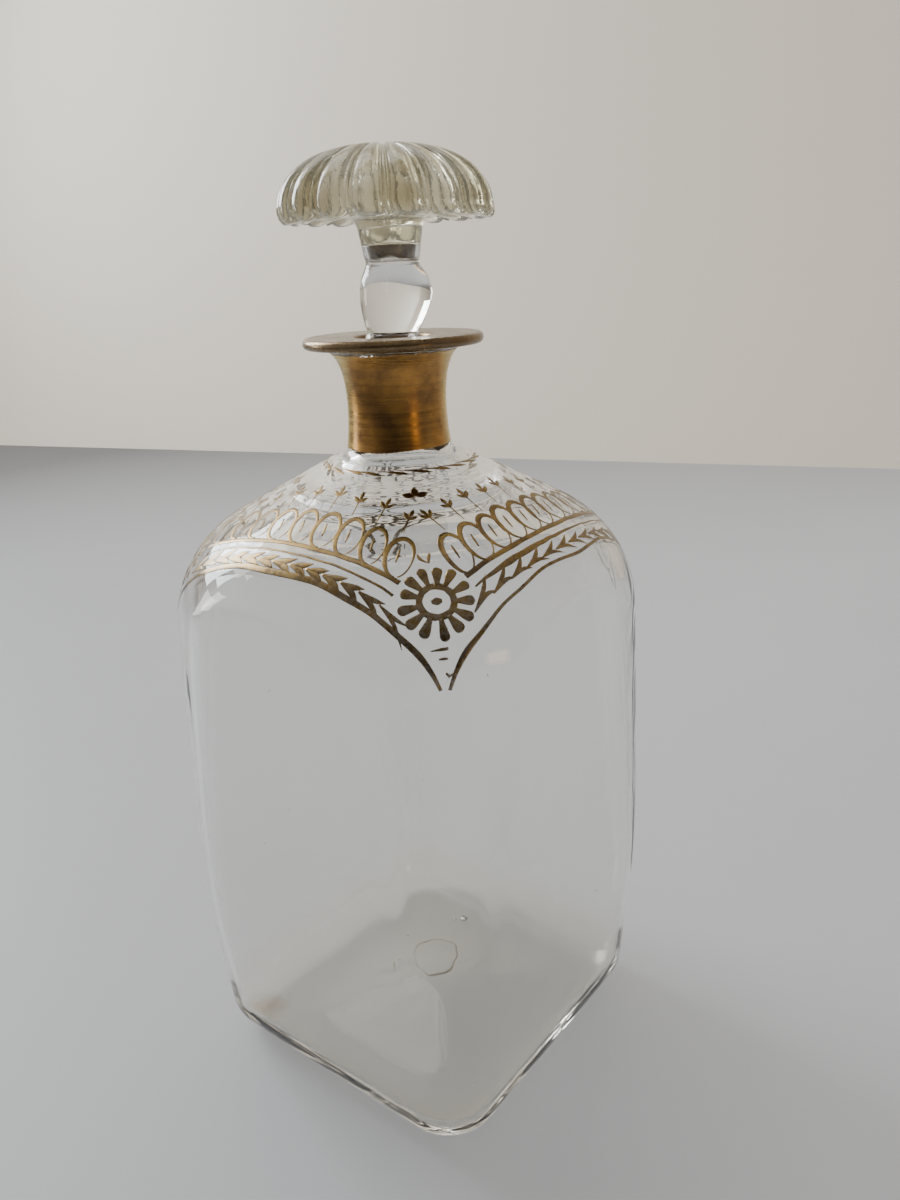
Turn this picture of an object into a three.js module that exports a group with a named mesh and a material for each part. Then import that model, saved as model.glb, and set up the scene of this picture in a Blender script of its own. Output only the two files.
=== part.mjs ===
// A square blown-glass perfume bottle with a domed shoulder, a gilded neck and lip, gilded shoulder
// ornament, and a glass stopper with a fluted mushroom finial. Millimetres, +Z up. The origin is the
// centre of the foot, on the surface that the bottle stands on, and the four flat sides face X and Y.
import * as THREE from 'three';

// ---- Driving dimensions ----
const lipTop = 150; // height of the lip's top face
const sideAtFoot = 34.4; // half the distance between opposite flat sides, at the foot
const sideTaper = 0.0676; // how much that grows for each millimetre of height
const sideCornerRadius = 10.5; // plan radius of the corners low on the body
const sideBlend = 1.2; // how far the flat sides melt into the turned shape
const footEdgeRadius = 8.2; // rounding from the sides into the foot
const footBand = 3; // width of the flat band that the bottle rests on
const kickRise = 4.2; // how far the push-up in the foot rises
const wall = 2; // glass thickness of the sides and shoulder
const floorGlass = 3; // glass thickness of the floor
const innerFloorRadius = 6.5; // rounding inside, from the sides into the floor

// The turned shape: an upright cone, an arc and the shallow cone of the shoulder, each tangent.
const turnedAtFoot = 47.85; // radius of the turned shape at the foot
const turnedTaper = 0.0328; // how much it shrinks for each millimetre of height
const shoulderSlope = THREE.MathUtils.degToRad(27.75);
const shoulderRadius = 22.5;
const shoulderApex = 134.73; // height where the shoulder cone would meet the axis

// The neck's outline from its tight fillet on the shoulder up to the lip.
const neckFillet = [
  [12.6, 128.1],
  [10.9, 128.7],
  [9.95, 129.9],
];
const neckOutline = [
  [9.65, 132.2],
  [9.3, 136],
  [9.3, 139.5],
  [9.9, 143.5],
  [11.2, 146.6],
];
const lipRadius = 16.65;
const boreAtMouth = 6.9;
const boreAtFoot = 6.3;
const boreFoot = 131;

const knopRadius = 6.7; // the knop's widest radius
const knopHeight = 157;
const waistRadius = 4.8; // between the knop and the ring above it
const shankClearance = 0.35; // between the ground shank and the bore
const shankEnd = 132;
const ringFrom = 162.3; // the ring of cement between the knop and the finial
const ringTo = 165.5;
const finialRadius = 19.2;
const finialRim = 170.6;
const finialTop = 182.1;
const fluteCount = 18;
const fluteTurn = THREE.MathUtils.degToRad(1.2); // from +X to the first groove
const fluteDepth = 0.07; // groove depth as a share of the finial's radius

const ornamentTurn = THREE.MathUtils.degToRad(2.3); // the gilding sits a little round from the corners
const daisyRadius = 6.3;
const petalCount = 13;
const lineWidth = 0.9; // of the gilded border lines

const gap = 0.3; // clearance between touching pieces
const film = 0.3; // thickness given to the fired gilding, thicker than the real film

// ---- Meshing ----
const bottleStations = 48;
const turnedSegments = 36;
const samplesPerFlute = 5;

const glassFinish = { color: 0xdfe5e0, roughness: 0.06, metalness: 0, transparent: true, opacity: 0.35 };
const finialFinish = { color: 0xe2e3cf, roughness: 0.12, metalness: 0, transparent: true, opacity: 0.5 };
const gildFinish = { color: 0x8a5f22, roughness: 0.32, metalness: 1 };
const cementFinish = { color: 0x4a3c2c, roughness: 0.7, metalness: 0 };

const part = new THREE.Group();

function addPiece(name, geometry, finish) {
  const mesh = new THREE.Mesh(geometry, new THREE.MeshStandardMaterial(finish));
  mesh.name = name;
  part.add(mesh);
}

// ---- Closed bodies from sections ----

function signedVolume(points, index) {
  let sum = 0;
  for (let i = 0; i < index.length; i += 3) {
    const [a, b, c] = index.slice(i, i + 3).map((k) => points[k]);
    sum += a.dot(b.clone().cross(c));
  }
  return sum / 6;
}

// Joins closed sections in order. start and end are the points that close the two ends; a body
// without them closes on itself.
function loft(sections, start = null, end = null) {
  const count = sections[0].length;
  const points = sections.flat();
  const index = [];
  const joins = start ? sections.length - 1 : sections.length;
  for (let i = 0; i < joins; i++) {
    const here = i * count;
    const there = ((i + 1) % sections.length) * count;
    for (let j = 0; j < count; j++) {
      const k = (j + 1) % count;
      index.push(here + j, here + k, there + k, here + j, there + k, there + j);
    }
  }
  if (start) {
    const last = (sections.length - 1) * count;
    points.push(start, end);
    for (let j = 0; j < count; j++) {
      const k = (j + 1) % count;
      index.push(points.length - 2, k, j, points.length - 1, last + j, last + k);
    }
  }
  if (signedVolume(points, index) < 0) index.reverse();
  const geometry = new THREE.BufferGeometry().setFromPoints(points);
  geometry.setIndex(index);
  geometry.computeVertexNormals();
  return geometry;
}

function polar(radius, angle, z) {
  return new THREE.Vector3(radius * Math.cos(angle), radius * Math.sin(angle), z);
}

function ring(count, radiusAt, heightAt) {
  return Array.from({ length: count }, (_, i) => {
    const angle = (i / count) * 2 * Math.PI;
    return polar(radiusAt(angle), angle, heightAt(angle));
  });
}

// A turned body from a profile of [radius, height] pairs; the profile starts and ends on the axis.
function turned(profile) {
  const rings = profile.slice(1, -1).map(([r, z]) => ring(turnedSegments, () => r, () => z));
  const [first, last] = [profile[0], profile.at(-1)];
  return loft(rings, new THREE.Vector3(0, 0, first[1]), new THREE.Vector3(0, 0, last[1]));
}

function sleeve(profile) {
  return loft(profile.map(([r, z]) => ring(turnedSegments, () => r, () => z)));
}

function curve(pairs, samples) {
  const spline = new THREE.SplineCurve(pairs.map(([x, y]) => new THREE.Vector2(x, y)));
  return spline.getSpacedPoints(samples).map((p) => [p.x, p.y]);
}

function arc(centre, radius, from, to, samples) {
  return Array.from({ length: samples + 1 }, (_, i) => {
    const turn = from + ((to - from) * i) / samples;
    return [centre[0] + radius * Math.cos(turn), centre[1] + radius * Math.sin(turn)];
  });
}

// ---- The turned shape of the body and shoulder ----

const wallLean = Math.atan(turnedTaper);
const wallNormal = new THREE.Vector2(Math.cos(wallLean), Math.sin(wallLean));
const slopeNormal = new THREE.Vector2(Math.sin(shoulderSlope), Math.cos(shoulderSlope));

// The arc's centre is one shoulder radius inside both the upright cone and the shoulder cone.
function shoulderCentre() {
  const wallSide = wallNormal.x * turnedAtFoot - shoulderRadius;
  const slopeSide = slopeNormal.y * shoulderApex - shoulderRadius;
  const cross = wallNormal.cross(slopeNormal);
  const x = (wallSide * slopeNormal.y - slopeSide * wallNormal.y) / cross;
  const y = (slopeSide * wallNormal.x - wallSide * slopeNormal.x) / cross;
  return [x, y];
}

const arcCentre = shoulderCentre();
const arcFrom = wallLean;
const arcTo = Math.PI / 2 - shoulderSlope;
const coneRun = (arcCentre[0] + shoulderRadius * slopeNormal.x) / Math.cos(shoulderSlope);

// A point on the shoulder: its polar angle, the distance run from the cone's apex down the
// profile, and its height above the glass.
function onShoulder(angle, run, lift) {
  const past = Math.max(run - coneRun, 0) / shoulderRadius;
  const tilt = Math.min(shoulderSlope + past, Math.PI / 2 - wallLean);
  const overrun = Math.max(past - (Math.PI / 2 - wallLean - shoulderSlope), 0) * shoulderRadius;
  let r = run * Math.cos(shoulderSlope);
  let z = shoulderApex - run * Math.sin(shoulderSlope);
  if (past > 0) {
    r = arcCentre[0] + shoulderRadius * Math.sin(tilt) + overrun * Math.sin(wallLean);
    z = arcCentre[1] + shoulderRadius * Math.cos(tilt) - overrun * Math.cos(wallLean);
  }
  return polar(r + lift * Math.sin(tilt), angle, z + lift * Math.cos(tilt));
}

function runAtRadius(r) {
  const coneRadius = coneRun * Math.cos(shoulderSlope);
  if (r <= coneRadius) return r / Math.cos(shoulderSlope);
  const tilt = Math.asin((r - arcCentre[0]) / shoulderRadius);
  return coneRun + (tilt - shoulderSlope) * shoulderRadius;
}

// ---- Bottle ----

// Polar radius of a square with round corners.
function squareRadius(halfSide, cornerRadius, angle) {
  const c = Math.abs(Math.cos(angle));
  const s = Math.abs(Math.sin(angle));
  const flat = halfSide / Math.max(c, s);
  const inner = halfSide - cornerRadius;
  if (flat * Math.min(c, s) <= inner) return flat;
  const along = inner * (c + s);
  return along + Math.sqrt(Math.max(along * along - 2 * inner * inner + cornerRadius ** 2, 0));
}

function smoothLesser(a, b, blend) {
  const share = THREE.MathUtils.clamp(0.5 + (b - a) / (2 * blend), 0, 1);
  return b * (1 - share) + a * share - blend * share * (1 - share);
}

// Polar radius of the body where the turned shape has radius r; inset is how far inside the
// outer surface the flat sides lie.
function bodyRadius(angle, z, r, inset) {
  const halfSide = sideAtFoot + sideTaper * z - inset;
  const corner = Math.max(sideCornerRadius - 0.6 * inset, 1);
  return smoothLesser(squareRadius(halfSide, corner, angle), r, sideBlend);
}

function bodyRing(r, z, inset = 0) {
  return ring(bottleStations, (angle) => bodyRadius(angle, z, r, inset), () => z);
}

function turnedRadius(z) {
  return turnedAtFoot - turnedTaper * z;
}

function kickHeight(share) {
  return kickRise * Math.cos((share * Math.PI) / 2) ** 2;
}

// Rings from the middle of the floor out to its edge; the plan goes from round to square.
function floorRings(edgeInset, base, shares) {
  const edge = (angle) => bodyRadius(angle, 0, turnedAtFoot - edgeInset, edgeInset);
  const round = edge(0);
  return shares.map((share) => {
    const plan = (angle) => share * THREE.MathUtils.lerp(round, edge(angle), share);
    return ring(bottleStations, plan, () => base + kickHeight(share));
  });
}

function edgeRings(radius, base, inset, samples) {
  return Array.from({ length: samples }, (_, i) => {
    const turn = (i / (samples - 1)) * (Math.PI / 2);
    const z = base + radius * (1 - Math.cos(turn));
    const deep = inset + radius * (1 - Math.sin(turn));
    return bodyRing(turnedRadius(z) - deep, z, deep);
  });
}

function bottle() {
  const footInset = footEdgeRadius + footBand;
  const shares = [0.2, 0.4, 0.6, 0.75, 0.88, 1];
  const underside = floorRings(footInset, 0, shares);
  const footEdge = edgeRings(footEdgeRadius, 0, 0, 5);
  const wallHeights = [28, 50, 72, 86];
  const outerWall = wallHeights.map((z) => bodyRing(turnedRadius(z), z));
  const outerArc = arc(arcCentre, shoulderRadius, arcFrom, arcTo, 8).map(([r, z]) => bodyRing(r, z));
  const neck = [...neckFillet, ...curve([...neckOutline, [13, 147.8], [15.6, 148.1]], 8)];
  const lipEdge = arc([lipRadius - 0.95, lipTop - 0.95], 0.95, -Math.PI / 3, Math.PI / 2, 5);
  const bore = [
    [boreAtMouth + 0.7, lipTop],
    [boreAtMouth, lipTop - 0.8],
    [(boreAtMouth + boreAtFoot) / 2, (lipTop + boreFoot) / 2],
    [boreAtFoot, boreFoot],
    [boreAtFoot + 0.5, boreFoot - 1.6],
    [boreAtFoot + 2.2, boreFoot - 3.6],
  ];
  const round = [...neck, ...lipEdge, ...bore].map(([r, z]) => bodyRing(r, z));
  const innerArc = arc(arcCentre, shoulderRadius - wall, arcTo, arcFrom, 6);
  const innerShoulder = innerArc.map(([r, z]) => bodyRing(r, z, wall));
  const innerWall = wallHeights.toReversed().map((z) => bodyRing(turnedRadius(z) - wall, z, wall));
  const innerEdge = edgeRings(innerFloorRadius, floorGlass, wall, 5).toReversed();
  const innerFloor = floorRings(wall + innerFloorRadius, floorGlass, shares.slice(0, -1)).toReversed();
  const rings = [
    ...underside, ...footEdge, ...outerWall, ...outerArc, ...round,
    ...innerShoulder, ...innerWall, ...innerEdge, ...innerFloor,
  ];
  const under = new THREE.Vector3(0, 0, kickRise);
  const over = new THREE.Vector3(0, 0, kickRise + floorGlass);
  return loft(rings, under, over);
}

// ---- Gilding ----

// A band of even thickness that follows an open profile at a clearance outside it.
function coating(profile, samples) {
  const path = curve(profile, samples);
  const at = (i, lift) => {
    const [ax, ay] = path[Math.max(i - 1, 0)];
    const [bx, by] = path[Math.min(i + 1, path.length - 1)];
    const length = Math.hypot(bx - ax, by - ay);
    const [x, y] = path[i];
    return [x + (lift * (by - ay)) / length, y - (lift * (bx - ax)) / length];
  };
  const inside = path.map((_, i) => at(i, gap));
  const outside = path.map((_, i) => at(i, gap + film)).toReversed();
  return sleeve([...inside, ...outside]);
}

function neckGilding() {
  return coating([[9.9, 130.2], ...neckOutline], 8);
}

function lipGilding() {
  return coating([
    [lipRadius - 0.7, lipTop - 1.85],
    [lipRadius - 0.12, lipTop - 1.45],
    [lipRadius, lipTop - 0.95],
    [lipRadius - 0.28, lipTop - 0.28],
    [lipRadius - 0.95, lipTop],
    [12, lipTop],
    [boreAtMouth + 0.8, lipTop],
  ], 8);
}

// A flat strip on the shoulder along path, a function from 0..1 to [angle, run].
function strip(path, samples) {
  const centre = (i) => onShoulder(...path(i / samples), gap);
  const sections = Array.from({ length: samples + 1 }, (_, i) => {
    const [angle, run] = path(i / samples);
    const low = onShoulder(angle, run, gap);
    const up = onShoulder(angle, run, gap + film).sub(low);
    const along = centre(Math.min(i + 1, samples)).sub(centre(Math.max(i - 1, 0)));
    const side = along.cross(up).normalize().multiplyScalar(lineWidth / 2);
    const corners = [low.clone().sub(side), low.clone().add(side)];
    return [...corners, ...corners.toReversed().map((p) => p.clone().add(up))];
  });
  const middle = (section) => section[0].clone().add(section[2]).multiplyScalar(0.5);
  return loft(sections, middle(sections[0]), middle(sections.at(-1)));
}

// The lower border of one side: an ogee arch from corner tip to corner tip, as run against the
// angle from the corner in degrees.
const archProfile = new THREE.SplineCurve([
  [0.9, 60.6],
  [2.6, 57.7],
  [5, 54.8],
  [8.7, 52.1],
  [14.7, 48.4],
  [21, 45.8],
  [28.6, 43.6],
  [36, 42.8],
  [45, 42.6],
].map(([x, y]) => new THREE.Vector2(x, y)));

function lowerBorder(side) {
  const path = (t) => {
    const half = archProfile.getPoint(1 - Math.abs(2 * t - 1));
    const fromMiddle = THREE.MathUtils.degToRad(45 - half.x) * Math.sign(2 * t - 1);
    return [side + fromMiddle, half.y];
  };
  return strip(path, 28);
}

// The upper border of one side: a line in plan, bowed out a little, from daisy to daisy.
function upperBorder(side) {
  const reach = 22.3;
  const middle = 32;
  const bow = 2.2;
  const path = (t) => {
    const along = reach * (2 * t - 1);
    const out = middle - bow * (along / reach) ** 2;
    return [side + Math.atan2(along, out), runAtRadius(Math.hypot(along, out))];
  };
  return strip(path, 20);
}

// A daisy at one corner: a ring of petals round an open eye, bent to the shoulder.
function cornerDaisy(corner) {
  const eye = 2.1;
  const heartRadius = 39.9;
  const heart = runAtRadius(heartRadius);
  const tips = [daisyRadius, 0.92 * daisyRadius, 0.52 * daisyRadius, 0.92 * daisyRadius];
  const place = (turn, r, lift) => {
    const angle = corner + (r * Math.sin(turn)) / heartRadius;
    return onShoulder(angle, heart + r * Math.cos(turn), lift);
  };
  const stations = Array.from({ length: petalCount * tips.length }, (_, i) => {
    const turn = (i / (petalCount * tips.length)) * 2 * Math.PI;
    const radii = [eye, tips[i % tips.length]];
    const lower = radii.map((r) => place(turn, r, gap));
    const upper = radii.toReversed().map((r) => place(turn, r, gap + film));
    return [...lower, ...upper];
  });
  return loft(stations);
}

// ---- Stopper ----

function knopAndShank() {
  const shankTop = boreAtMouth - shankClearance;
  const shankFoot = boreAtFoot - shankClearance;
  const shank = [
    [0, shankEnd],
    [shankFoot - 1, shankEnd],
    [shankFoot, shankEnd + 1],
    [shankTop, lipTop - 3],
    [shankTop - 0.4, lipTop - 1.6],
  ];
  const knop = curve([
    [5.3, lipTop],
    [5.2, lipTop + 1],
    [6.2, knopHeight - 3.3],
    [knopRadius, knopHeight],
    [6.2, knopHeight + 3],
    [waistRadius + 0.2, ringFrom - 0.8],
    [waistRadius, ringFrom - gap],
  ], 11);
  return turned([...shank, ...knop, [0, ringFrom - gap]]);
}

function cementRing() {
  return turned([
    [0, ringFrom],
    [waistRadius - 0.1, ringFrom],
    [waistRadius + 0.2, (ringFrom + ringTo) / 2],
    [waistRadius + 0.1, ringTo],
    [0, ringTo],
  ]);
}

// The finial's outline, with the share of the flutes' depth at each point.
function finialOutline() {
  const base = ringTo + gap;
  const underside = [
    [5, base, 0],
    [5.6, base + 1.6, 0],
    [6.7, finialRim - 0.9, 0],
    [9, finialRim - 0.2, 0.1],
    [13.5, finialRim - 0.5, 0.4],
    [17.6, finialRim - 1.2, 0.8],
    [finialRadius - 0.4, finialRim - 0.8, 1],
  ];
  const steps = 8;
  const dome = Array.from({ length: steps }, (_, i) => {
    const turn = (i / steps) * (Math.PI / 2);
    const r = finialRadius * Math.cos(turn) ** 0.86;
    const z = finialRim + (finialTop - finialRim) * Math.sin(turn) ** 0.84;
    return [r, z, 1];
  });
  return [...underside, ...dome];
}

function finial() {
  const stations = fluteCount * samplesPerFlute;
  const groove = (angle) => 1 - Math.abs(Math.sin(((angle - fluteTurn) * fluteCount) / 2)) ** 0.6;
  const sections = finialOutline().map(([r, z, share]) => {
    return ring(stations, (angle) => r * (1 - fluteDepth * share * groove(angle)), () => z);
  });
  const foot = new THREE.Vector3(0, 0, ringTo + gap);
  const dimple = new THREE.Vector3(0, 0, finialTop - 0.4);
  return loft(sections, foot, dimple);
}

// ---- The whole bottle ----

addPiece('bottle', bottle(), glassFinish);
addPiece('neck_gilding', neckGilding(), gildFinish);
addPiece('lip_gilding', lipGilding(), gildFinish);
for (let i = 0; i < 4; i++) {
  const side = (i * Math.PI) / 2 + ornamentTurn;
  addPiece(`lower_border_${i + 1}`, lowerBorder(side), gildFinish);
  addPiece(`upper_border_${i + 1}`, upperBorder(side), gildFinish);
  addPiece(`corner_daisy_${i + 1}`, cornerDaisy(side + Math.PI / 4), gildFinish);
}
addPiece('stopper_knop', knopAndShank(), glassFinish);
addPiece('stopper_ring', cementRing(), cementFinish);
addPiece('stopper_finial', finial(), finialFinish);

export default part;
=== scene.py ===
import math
import random

import bpy
import numpy as np
from mathutils import Matrix, Vector


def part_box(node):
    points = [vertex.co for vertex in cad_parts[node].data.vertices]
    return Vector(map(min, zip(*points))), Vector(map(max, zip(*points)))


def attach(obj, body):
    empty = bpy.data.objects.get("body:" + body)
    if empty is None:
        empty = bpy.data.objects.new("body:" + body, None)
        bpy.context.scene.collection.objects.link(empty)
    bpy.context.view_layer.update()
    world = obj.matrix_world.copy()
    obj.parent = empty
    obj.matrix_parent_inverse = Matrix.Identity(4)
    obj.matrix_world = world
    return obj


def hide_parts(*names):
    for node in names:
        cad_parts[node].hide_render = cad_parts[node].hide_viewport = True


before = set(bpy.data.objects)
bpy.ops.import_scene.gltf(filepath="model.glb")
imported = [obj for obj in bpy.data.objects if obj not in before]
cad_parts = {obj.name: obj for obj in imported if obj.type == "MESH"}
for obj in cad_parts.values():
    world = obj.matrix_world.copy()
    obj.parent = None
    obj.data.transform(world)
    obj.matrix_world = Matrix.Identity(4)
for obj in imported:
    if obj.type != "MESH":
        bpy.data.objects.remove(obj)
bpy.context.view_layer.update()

# A square blown-glass perfume bottle with gilded ornament and a glass stopper. Shapes are worked
# out in millimetres, as in the CAD model, and scaled to metres when a mesh is made.
MM = 0.001

# ---- Dimensions, as in the CAD model ----
LIP_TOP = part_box("bottle")[1].z / MM
SIDE_AT_FOOT = 34.4
SIDE_TAPER = 0.0676
SIDE_CORNER = 10.5
SIDE_BLEND = 1.2
FOOT_EDGE = 8.2
FOOT_BAND = 3.0
KICK_RISE = 4.2
WALL = 2.0
FLOOR_GLASS = 3.0
INNER_FLOOR_EDGE = 6.5
TURNED_AT_FOOT = 47.85
TURNED_TAPER = 0.0328
SLOPE = math.radians(27.75)
SHOULDER = 22.5
APEX = 134.73
NECK = 9.3
LIP = 16.65
BORE_TOP = 6.9
BORE_FOOT = 6.3
BORE_END = 131.0
FINIAL_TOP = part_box("stopper_finial")[1].z / MM
FINIAL_RIM = 170.6
FINIAL = 19.2
FLUTES = 18
FLUTE_TURN = math.radians(1.2)  # from +X to the first rib
RING_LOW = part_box("stopper_ring")[0].z / MM
RING_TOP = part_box("stopper_ring")[1].z / MM
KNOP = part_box("stopper_knop")[1].x / MM
KNOP_HEIGHT = 157.0
SHANK_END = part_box("stopper_knop")[0].z / MM
ORNAMENT_TURN = math.radians(2.3)

STATIONS = 240
FILM = 0.025  # thickness of the gilding film
FILM_LIFT = 0.012  # and of the sliver between it and the glass


# ---- Meshes from rings ----

def ring_mesh(name, parts):
    """One mesh of several lofted bodies; each part is (rings, start, end) in millimetres, and a
    part without start and end closes on itself."""
    points, faces = [], []
    for rings, start, end in parts:
        rings = np.asarray(rings, float)
        rows, count = rings.shape[:2]
        base = len(points)
        points.extend(map(tuple, rings.reshape(-1, 3) * MM))
        joins = rows - 1 if start is not None else rows
        for i in range(joins):
            here, there = base + i * count, base + (i + 1) % rows * count
            for j in range(count):
                k = (j + 1) % count
                faces.append((here + j, here + k, there + k, there + j))
        if start is None:
            continue
        points.append(tuple(np.asarray(start, float) * MM))
        points.append(tuple(np.asarray(end, float) * MM))
        first, last, row = len(points) - 2, len(points) - 1, base + (rows - 1) * count
        for j in range(count):
            k = (j + 1) % count
            faces.append((first, base + k, base + j))
            faces.append((last, row + j, row + k))
    mesh = bpy.data.meshes.new(name)
    mesh.from_pydata(points, [], faces)
    mesh.shade_smooth()
    mesh.update()
    return mesh


def place(name, parts, material, body, slot, *replaced):
    """Makes a piece, gives it its material and ties it to the frame."""
    obj = bpy.data.objects.new(name, ring_mesh(name, parts))
    bpy.context.scene.collection.objects.link(obj)
    obj.data.materials.append(material)
    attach(obj, body)
    if replaced:
        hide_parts(*replaced)
    return obj


def spline(points, samples):
    """Evenly spaced points on a smooth curve through the given ones."""
    pts = np.asarray(points, float)
    ends = np.vstack([2 * pts[0] - pts[1], pts, 2 * pts[-1] - pts[-2]])
    dense = []
    for i in range(len(pts) - 1):
        p0, p1, p2, p3 = ends[i:i + 4]
        for t in np.linspace(0, 1, 24, endpoint=False):
            dense.append(0.5 * (2 * p1 + (p2 - p0) * t + (2 * p0 - 5 * p1 + 4 * p2 - p3) * t ** 2
                                + (3 * p1 - p0 - 3 * p2 + p3) * t ** 3))
    dense = np.vstack([dense, pts[-1]])
    length = np.concatenate([[0], np.cumsum(np.linalg.norm(np.diff(dense[:, :2], axis=0), axis=1))])
    even = np.linspace(0, length[-1], samples)
    return np.column_stack([np.interp(even, length, dense[:, c]) for c in range(pts.shape[1])])


def arc(centre, radius, start, end, samples):
    turn = np.linspace(start, end, samples)
    return np.column_stack([centre[0] + radius * np.cos(turn), centre[1] + radius * np.sin(turn)])


# ---- The turned shape of the body and shoulder ----

LEAN = math.atan(TURNED_TAPER)


def shoulder_centre():
    """The arc's centre lies one shoulder radius inside the upright cone and the shoulder cone."""
    sides = np.array([[math.cos(LEAN), math.sin(LEAN)], [math.sin(SLOPE), math.cos(SLOPE)]])
    return np.linalg.solve(sides, [sides[0, 0] * TURNED_AT_FOOT - SHOULDER,
                                   sides[1, 1] * APEX - SHOULDER])


ARC_CENTRE = shoulder_centre()
CONE_RADIUS = ARC_CENTRE[0] + SHOULDER * math.sin(SLOPE)
CONE_RUN = CONE_RADIUS / math.cos(SLOPE)
ARC_RUN = (math.pi / 2 - LEAN - SLOPE) * SHOULDER


def square_radius(half, corner, angle):
    """Polar radius of a square with round corners."""
    c, s = np.abs(np.cos(angle)), np.abs(np.sin(angle))
    flat = half / np.maximum(c, s)
    inner = half - corner
    along = inner * (c + s)
    curved = along + np.sqrt(np.maximum(along ** 2 - 2 * inner ** 2 + corner ** 2, 0))
    return np.where(flat * np.minimum(c, s) <= inner, flat, curved)


def smooth_lesser(a, b, blend):
    share = np.clip(0.5 + (b - a) / (2 * blend), 0, 1)
    return b * (1 - share) + a * share - blend * share * (1 - share)


def body_radius(angle, z, r, inset=0.0):
    """Polar radius of the body where the turned shape has radius r."""
    half = SIDE_AT_FOOT + SIDE_TAPER * z - inset
    corner = max(SIDE_CORNER - 0.6 * inset, 1.0)
    return smooth_lesser(square_radius(half, corner, angle), r, SIDE_BLEND)


def blown(angle, z, inside):
    """The unevenness of hand-blown glass, in millimetres, out from the axis."""
    shift = 1.9 * inside
    wave = 0.2 * np.sin(2 * angle + 0.6 + z / 37 + shift)
    wave = wave + 0.11 * np.sin(3 * angle - z / 21 + 2 * shift)
    wave = wave + 0.06 * np.sin(7 * angle + z / 13 + 3 * shift)
    swell = 0.35 * np.sin(np.pi * np.clip(z / 128, 0, 1)) * (1 - inside)
    fade = np.clip((127 - z) / 12, 0, 1) * np.clip((z - 3) / 30, 0.0, 1)
    return (wave + swell) * fade


def ripple(r, angle, inside):
    """Rings left in the shoulder round the foot of the neck, as height."""
    envelope = np.exp(-((r - 17.0) / 4.2) ** 2)
    rings = np.sin(4.6 * r + 0.9 * np.sin(2 * angle + 1) + 2.0 * inside)
    finer = 0.42 * (1 - inside) * np.sin(9.3 * r + 1.7 * np.sin(3 * angle + 1))
    return 0.006 * (1 + 0.4 * inside) * envelope * (rings + finer)


def body_ring(r, z, inset=0.0, inside=0):
    angle = np.arange(STATIONS) / STATIONS * 2 * np.pi
    out = body_radius(angle, z, r, inset) + blown(angle, z, inside)
    up = z + ripple(r, angle, inside) * (z < 128.5)
    return np.column_stack([out * np.cos(angle), out * np.sin(angle), np.broadcast_to(up, out.shape)])


def on_glass(angle, run, lift=0.0):
    """A point on the shoulder's outer face: angle, distance run down the profile from the cone's
    apex, and height above the glass."""
    past = max(run - CONE_RUN, 0.0) / SHOULDER
    tilt = SLOPE + min(past, ARC_RUN / SHOULDER)
    overrun = max(run - CONE_RUN - ARC_RUN, 0.0)
    if past > 0:
        r = ARC_CENTRE[0] + SHOULDER * math.sin(tilt) + overrun * math.sin(LEAN)
        z = ARC_CENTRE[1] + SHOULDER * math.cos(tilt) - overrun * math.cos(LEAN)
    else:
        r = run * math.cos(SLOPE)
        z = APEX - run * math.sin(SLOPE)
    out = float(body_radius(angle, z, r)) + float(blown(angle, z, 0)) + lift * math.sin(tilt)
    up = z + float(ripple(r, angle, 0)) + lift * math.cos(tilt)
    return np.array([out * math.cos(angle), out * math.sin(angle), up])


def run_at(r):
    if r <= CONE_RADIUS:
        return r / math.cos(SLOPE)
    return CONE_RUN + (math.asin(min((r - ARC_CENTRE[0]) / SHOULDER, 1.0)) - SLOPE) * SHOULDER


def radius_at(run):
    point = on_glass(math.pi / 4, run)
    return math.hypot(point[0], point[1])


# ---- Bottle ----

NECK_PROFILE = [(12.6, 128.1), (10.95, 128.65), (10.05, 129.5), (9.75, 130.7), (9.5, 133), (NECK, 136),
                (NECK, 139), (9.6, 142.3), (10.4, 145.2), (11.6, 147.1), (13.2, 147.95), (15.4, 148.15)]
MOUTH_PROFILE = [(LIP - 1.6, LIP_TOP), (11, LIP_TOP - 0.05), (BORE_TOP + 1.0, LIP_TOP - 0.15),
                 (BORE_TOP + 0.2, LIP_TOP - 0.7), (BORE_TOP, LIP_TOP - 1.6)]
LIP_EDGE = arc((LIP - 0.95, LIP_TOP - 0.95), 0.95, -math.pi / 2.6, math.pi / 2, 24)
# The glass's outline from the shoulder up the neck, round the lip and down into the mouth.
NECK_OUTLINE = np.vstack([spline(NECK_PROFILE, 100), LIP_EDGE, spline(MOUTH_PROFILE, 50)])
INNER_SHOULDER = [(BORE_FOOT, BORE_END), (6.6, 129.4), (8.4, 127.0), (12.0, 124.7), (16.0, 122.9),
                  (19.4, 121.5), (21.2, 120.4), (24.0, 119.2), (28.0, 117.35)]


def kick(share, angle, base, inside):
    """The push-up: a low rise in the foot, with faint ridges towards its corners."""
    edge_inset = WALL + INNER_FLOOR_EDGE if inside else FOOT_EDGE + FOOT_BAND
    edge = body_radius(angle, 0.0, TURNED_AT_FOOT - edge_inset, edge_inset)
    plan = share * (edge.min() * (1 - share) + edge * share)
    ridge = 0.16 * (0.5 + 0.5 * np.cos(4 * angle)) ** 3 * np.sin(math.pi * share) ** 2
    rise = KICK_RISE * math.cos(share * math.pi / 2) ** 2 - ridge
    return np.column_stack([plan * np.cos(angle), plan * np.sin(angle), base + rise])


def floor_rings(inside, base, count):
    angle = np.arange(STATIONS) / STATIONS * 2 * np.pi
    return [kick(share, angle, base, inside) for share in np.linspace(0.02, 1, count)]


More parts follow.
